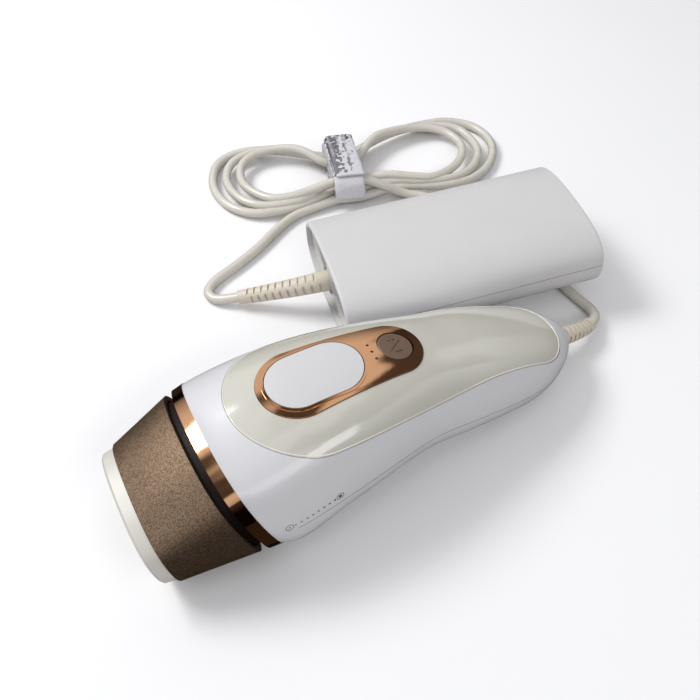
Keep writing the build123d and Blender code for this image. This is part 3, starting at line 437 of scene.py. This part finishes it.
def add_marks():
    hit = surface_of("upper_shell")
    form = bmesh.new()
    step = (MARK_LAST_X - MARK_FIRST_X) / (MARK_COUNT + 1)
    for i in range(MARK_COUNT + 2):
        x = MARK_FIRST_X + i * step
        z = MARK_Z + MARK_RISE * (x - MARK_FIRST_X)
        spot = hit(Vector((x, BESIDE, z)) * MM, (0, 1, 0))
        if i in (0, MARK_COUNT + 1):
            lay_disc(form, spot, MARK_RING * MM, MARK_RING_HOLE * MM, MARK_HEIGHT * MM, 28)
            centre = (MARK_CENTRE_DOT + MARK_CENTRE_GROWTH * i) * MM
            lay_disc(form, spot, centre, 0, MARK_HEIGHT * MM, 12)
        else:
            lay_disc(form, spot, (MARK_DOT + MARK_DOT_GROWTH * i) * MM, 0, MARK_HEIGHT * MM, 14)
    add_mesh("printed_marks", form, finishes["print_grey"], "base")


add_marks()


# ---------------------------------------------------------------- seams and edge lines
PANEL_EDGE_INSET = 0.35      # the edge bead's middle, from the panel's outline
PANEL_EDGE_RADIUS = 0.22
PANEL_NARROWING = 10.5       # half width lost from the widest place to the tail
PANEL_NOSE = 30              # length of the rounded front, and of the rounded tail
PANEL_HEEL = 17
CASE_SEAM_RADIUS = 0.11
CASE_SEAM_FRONT = 20         # the seam starts and stops this far from the shell's ends
CASE_SEAM_REAR = 4
CASE_SEAM_STEPS = 120
CASE_SEAM_TOP = 0.036        # above the seam everywhere, in metres
HALVINGS = 14
ADAPTER_SEAM_RADIUS = 0.13
ADAPTER_SEAM_STEPS = 40


def add_line(name, points, radius, material, closed=False):
    """Fine bead along points in metres."""
    data = bpy.data.curves.new(name, "CURVE")
    data.dimensions = "3D"
    spline = data.splines.new("POLY")
    spline.points.add(len(points) - 1)
    for place, point in zip(spline.points, points):
        place.co = (*point, 1)
    spline.use_cyclic_u = closed
    data.bevel_depth = radius
    data.bevel_resolution = 3
    data.materials.append(material)
    line = bpy.data.objects.new(name, data)
    bpy.context.scene.collection.objects.link(line)
    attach(line, "base")


def bezier(a, b, c, d, steps):
    """Points along one Bezier span, without its last."""
    spots = []
    for i in range(steps):
        t = i / steps
        u = 1 - t
        spots.append(a * u ** 3 + b * 3 * u * u * t + c * 3 * u * t * t + d * t ** 3)
    return spots


def add_panel_edge():
    """Fine bead round the top panel; its light cream colour is painted highlight along the panel's edge.
    """
    low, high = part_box("top_panel")
    middle = (low.y + high.y) / 2 / MM
    front = low.x / MM + PANEL_EDGE_INSET
    rear = high.x / MM - PANEL_EDGE_INSET
    wide = (high.y - low.y) / 2 / MM - PANEL_EDGE_INSET
    narrow = wide - PANEL_NARROWING
    nose = front + PANEL_NOSE
    heel = rear - PANEL_HEEL
    spans = [
        ((front, 0), (front, 0.55 * wide), (nose - 16, wide), (nose, wide), 24),
        ((nose, wide), (nose + 28, wide), (nose + 58, narrow + 2), (heel, narrow), 40),
        ((heel, narrow), (rear - 6, narrow - 1), (rear, 0.55 * narrow), (rear, 0), 20),
    ]
    outline = []
    for *corners, steps in spans:
        outline += bezier(*[Vector(corner) for corner in corners], steps)
    outline.append(Vector((rear, 0)))
    outline += [Vector((spot.x, -spot.y)) for spot in reversed(outline[1:-1])]
    hit = surface_of("top_panel")
    points = []
    for spot in outline:
        found = hit(Vector((spot.x, middle + spot.y, 100)) * MM, (0, 0, -1))
        if found:
            points.append(found[0])
    radius = PANEL_EDGE_RADIUS * MM
    add_line("panel_edge", points, radius, finishes["edge_clear"], closed=True)


def add_handset_seams():
    """The line between the two case halves, found as the lowest reach of the upper one."""
    hit = surface_of("upper_shell")
    low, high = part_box("upper_shell")
    middle = (low.y + high.y) / 2
    for side in (-1, 1):
        points = []
        first = low.x + CASE_SEAM_FRONT * MM
        length = high.x - low.x - (CASE_SEAM_FRONT + CASE_SEAM_REAR) * MM
        for i in range(CASE_SEAM_STEPS + 1):
            x = first + length * i / CASE_SEAM_STEPS
            below, above = 0.0, CASE_SEAM_TOP
            for _ in range(HALVINGS):
                level = (below + above) / 2
                found = hit((x, middle + side * 0.1, level), (0, -side, 0))
                on_near_side = found is not None and (found[0].y - middle) * side > 0
                below, above = (below, level) if on_near_side else (level, above)
            found = hit((x, middle + side * 0.1, above + 0.00002), (0, -side, 0))
            if found:
                points.append(found[0])
        name = "case_seam_near" if side < 0 else "case_seam_far"
        add_line(name, points, CASE_SEAM_RADIUS * MM, finishes["seam_grey"])


ADAPTER_TURN = math.radians(-10.9)
ADAPTER_TILT = math.radians(2.9)
ADAPTER_CORNER = Vector((-2.7, 40.6, 0.0))
ADAPTER_HEIGHT = 34.3
ADAPTER_PARTING = 0.575      # share of the height
ADAPTER_SEAM_FIRST = 1.4     # from the adapter's cord end
ADAPTER_SEAM_LENGTH = 128.2
ADAPTER_SEAM = ADAPTER_PARTING * ADAPTER_HEIGHT
TURN_COS, TURN_SIN = math.cos(ADAPTER_TURN), math.sin(ADAPTER_TURN)
TILT_COS, TILT_SIN = math.cos(ADAPTER_TILT), math.sin(ADAPTER_TILT)
ADAPTER_AXES = (
    Vector((TURN_COS * TILT_COS, TURN_SIN * TILT_COS, TILT_SIN)),
    Vector((-TURN_SIN, TURN_COS, 0)),
    Vector((-TURN_COS * TILT_SIN, -TURN_SIN * TILT_SIN, TILT_COS)),
)


def on_adapter(x, y, z):
    """Place on the adapter's own axes, in millimetres, as a place in the row frame in metres."""
    along, across, above = ADAPTER_AXES
    return (ADAPTER_CORNER + along * x + across * y + above * z) * MM


def add_adapter_seams():
    hit = surface_of("adapter_top_cover")
    for side in (-1, 1):
        points = []
        for i in range(ADAPTER_SEAM_STEPS + 1):
            along = ADAPTER_SEAM_FIRST + ADAPTER_SEAM_LENGTH * i / ADAPTER_SEAM_STEPS
            found = hit(on_adapter(along, side * 60, ADAPTER_SEAM + 0.02), -side * ADAPTER_AXES[1])
            if found:
                points.append(found[0])
        name = "adapter_seam_near" if side < 0 else "adapter_seam_far"
        add_line(name, points, ADAPTER_SEAM_RADIUS * MM, finishes["seam_grey"])


add_panel_edge()
add_handset_seams()
add_adapter_seams()


# ---------------------------------------------------------------- hook-and-loop tie
TIE_HALF_LENGTH = 26.0       # along the tie, half of its loop
TIE_LOW = 0.35
TIE_HIGH = 18.6
TIE_CORNER = 7.5
TIE_HALF_WIDTH = 8.4
TIE_THICKNESS = 1.3
TIE_STEPS = 220              # round the loop
TIE_FLAP = (96, 176)         # the steps that the flap covers
TIE_FLAP_LIFT = 0.45
TIE_FLAP_LEAN = 1.1          # sideways, over its length
TIE_BOWED = (70, 190)        # steps where the band's edges sink
TIE_EDGE_ROUND = 0.45        # share of the thickness
TIE_FRAY = 0.25              # how far the edges wander
TIE_FLUFF = 0.16
ACROSS_STEPS = 20


def tie_loop(steps):
    """Closed rounded loop across the hank: (along, height, outward along, outward height)."""
    spots = []
    straight = 2 * (TIE_HALF_LENGTH - TIE_CORNER)
    rise = TIE_HIGH - TIE_LOW - 2 * TIE_CORNER
    arc = math.pi * TIE_CORNER / 2
    lengths = [straight, arc, rise, arc] * 2
    total = sum(lengths)
    for i in range(steps):
        left = total * i / steps
        turned = 0
        for k, length in enumerate(lengths):
            if left <= length:
                break
            left -= length
            turned += 90 if k % 2 else 0
        centre_along = (TIE_HALF_LENGTH - TIE_CORNER) * (1, 1, 1, -1, -1, -1, -1, 1)[k]
        low_centre, high_centre = TIE_LOW + TIE_CORNER, TIE_HIGH - TIE_CORNER
        centre_high = high_centre if 3 <= k <= 6 else low_centre
        angle = math.radians(turned - 90) + (left / TIE_CORNER if k % 2 else 0)
        out = Vector((math.cos(angle), math.sin(angle)))
        spot = Vector((centre_along, centre_high)) + out * TIE_CORNER
        if k == 0:
            spot = Vector((-centre_along + left, TIE_LOW))
        if k == 2:
            spot = Vector((TIE_HALF_LENGTH, TIE_LOW + TIE_CORNER + left))
        if k == 4:
            spot = Vector((TIE_HALF_LENGTH - TIE_CORNER - left, TIE_HIGH))
        if k == 6:
            spot = Vector((-TIE_HALF_LENGTH, TIE_HIGH - TIE_CORNER - left))
        spots.append((spot, out))
    return spots


def add_tie():
    """Soft band: a full loop, and a flap that laps over its top towards the near side."""
    form = bmesh.new()
    spots = tie_loop(TIE_STEPS)

    def layer(first, last, lift, half, lean):
        """Closed strip between two counts of the loop, lift out from it."""
        rows = []
        for i in range(first, last + 1):
            spot, out = spots[i % len(spots)]
            row = []
            for skin in (0, 1):
                for j in range(ACROSS_STEPS + 1):
                    share = -1 + 2 * j / ACROSS_STEPS
                    round_off = TIE_EDGE_ROUND * TIE_THICKNESS * share ** 8
                    level = lift + (TIE_THICKNESS - round_off if skin else round_off)
                    ragged = TIE_FRAY * noise_at(Vector((i * 0.11, share * 2, 3 * skin)))
                    fluff = TIE_FLUFF * noise_at(Vector((i * 0.35, j * 0.6, 7 + lift)))
                    bow = -0.5 * share * share if TIE_BOWED[0] < i % TIE_STEPS < TIE_BOWED[1] else 0
                    place = spot + out * (level + fluff + bow * 0.4)
                    slant = lean * (i - first) / max(1, last - first)
                    reach = share * half + ragged * abs(share) ** 3 + slant
                    rise = Vector((0, 0, max(0.05, place.y)))
                    corner = TIE_CENTRE + TIE_ALONG * place.x + TIE_ACROSS * reach + rise
                    row.append(form.verts.new(corner * MM))
            rows.append(row[:ACROSS_STEPS + 1] + row[ACROSS_STEPS + 1:][::-1])
        for near, far in zip(rows, rows[1:]):
            for j in range(len(near)):
                k = (j + 1) % len(near)
                form.faces.new((near[j], near[k], far[k], far[j]))
        if last - first < len(spots):
            form.faces.new(rows[0])
            form.faces.new(rows[-1])

    layer(0, len(spots), -TIE_THICKNESS, TIE_HALF_WIDTH, 0)
    layer(*TIE_FLAP, TIE_FLAP_LIFT, TIE_HALF_WIDTH - 0.4, TIE_FLAP_LEAN)
    bmesh.ops.remove_doubles(form, verts=form.verts, dist=1e-6)
    tie = add_mesh("tie_band", form, finishes["tie_grey"], "base", wound=True)
    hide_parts("cord_tie")
    return tie


tie_band = add_tie()


# ---------------------------------------------------------------- floor and light
FLOOR_SIZE = 3.0
FLOOR_COLOUR = (0.90, 0.90, 0.905)
LIGHTS = {                   # place, size, energy
    "key": ((-0.50, 0.60, 0.85), (0.5, 0.35), 8.0),
    "front": ((0.10, -0.9, 0.75), (0.7, 0.3), 2.2),
}
SKY_LOW = (0.035, 0.025, 0.02, 1)
SKY_HIGH = (0.95, 0.96, 1.0, 1)
SKY_DIM = (0.10, 0.085, 0.075, 1)
SKY_PATCH_SCALE = 2.1
SKY_STRENGTH = 0.95


def add_floor():
    mesh = bpy.data.meshes.new("floor")
    form = bmesh.new()
    bmesh.ops.create_grid(form, x_segments=1, y_segments=1, size=FLOOR_SIZE)
    form.to_mesh(mesh)
    form.free()
    material, tree, shader = new_material("floor_white")
    slow = noise(tree, 8.0)
    colour = tint(tree, slow.outputs["Fac"], FLOOR_COLOUR, 0.004)
    tree.links.new(colour, shader.inputs["Base Color"])
    shader.inputs["Roughness"].default_value = 0.9
    shader.inputs["Specular IOR Level"].default_value = 0.1
    mesh.materials.append(material)
    floor = bpy.data.objects.new("floor", mesh)
    bpy.context.scene.collection.objects.link(floor)
    floor.visible_glossy = False


def add_light(name, place, size, energy):
    data = bpy.data.lights.new(name, "AREA")
    data.shape = "RECTANGLE"
    data.size, data.size_y = size
    data.energy = energy
    light = bpy.data.objects.new(name, data)
    bpy.context.scene.collection.objects.link(light)
    light.location = place
    light.rotation_euler = (-Vector(place)).to_track_quat("-Z", "Y").to_euler()


add_floor()
for name, (place, size, energy) in LIGHTS.items():
    add_light(name, place, size, energy)


def add_sky():
    """A studio with a bright ceiling and darker, warmer surroundings for polished parts to show."""
    world = bpy.data.worlds.new("world")
    world.use_nodes = True
    tree = world.node_tree
    place = tree.nodes.new("ShaderNodeTexCoord")
    split = tree.nodes.new("ShaderNodeSeparateXYZ")
    height = tree.nodes.new("ShaderNodeValToRGB")
    tree.links.new(place.outputs["Generated"], split.inputs["Vector"])
    tree.links.new(split.outputs["Z"], height.inputs["Fac"])
    low, high = height.color_ramp.elements
    low.position, low.color = 0.12, SKY_LOW
    high.position, high.color = 0.52, SKY_HIGH
    room = tree.nodes.new("ShaderNodeTexNoise")
    room.inputs["Scale"].default_value = SKY_PATCH_SCALE
    room.inputs["Detail"].default_value = 1.0
    tree.links.new(place.outputs["Generated"], room.inputs["Vector"])
    patches = tree.nodes.new("ShaderNodeValToRGB")
    dim, plain = patches.color_ramp.elements
    dim.position, dim.color = 0.44, SKY_DIM
    plain.position, plain.color = 0.50, (1, 1, 1, 1)
    tree.links.new(room.outputs["Fac"], patches.inputs["Fac"])
    both = tree.nodes.new("ShaderNodeMix")
    both.data_type = "RGBA"
    both.blend_type = "MULTIPLY"
    both.inputs["Factor"].default_value = 1.0
    tree.links.new(height.outputs["Color"], both.inputs["A"])
    tree.links.new(patches.outputs["Color"], both.inputs["B"])
    tree.links.new(both.outputs["Result"], tree.nodes["Background"].inputs["Color"])
    tree.nodes["Background"].inputs["Strength"].default_value = SKY_STRENGTH
    bpy.context.scene.world = world


add_sky()
bpy.context.scene.view_settings.view_transform = "Standard"
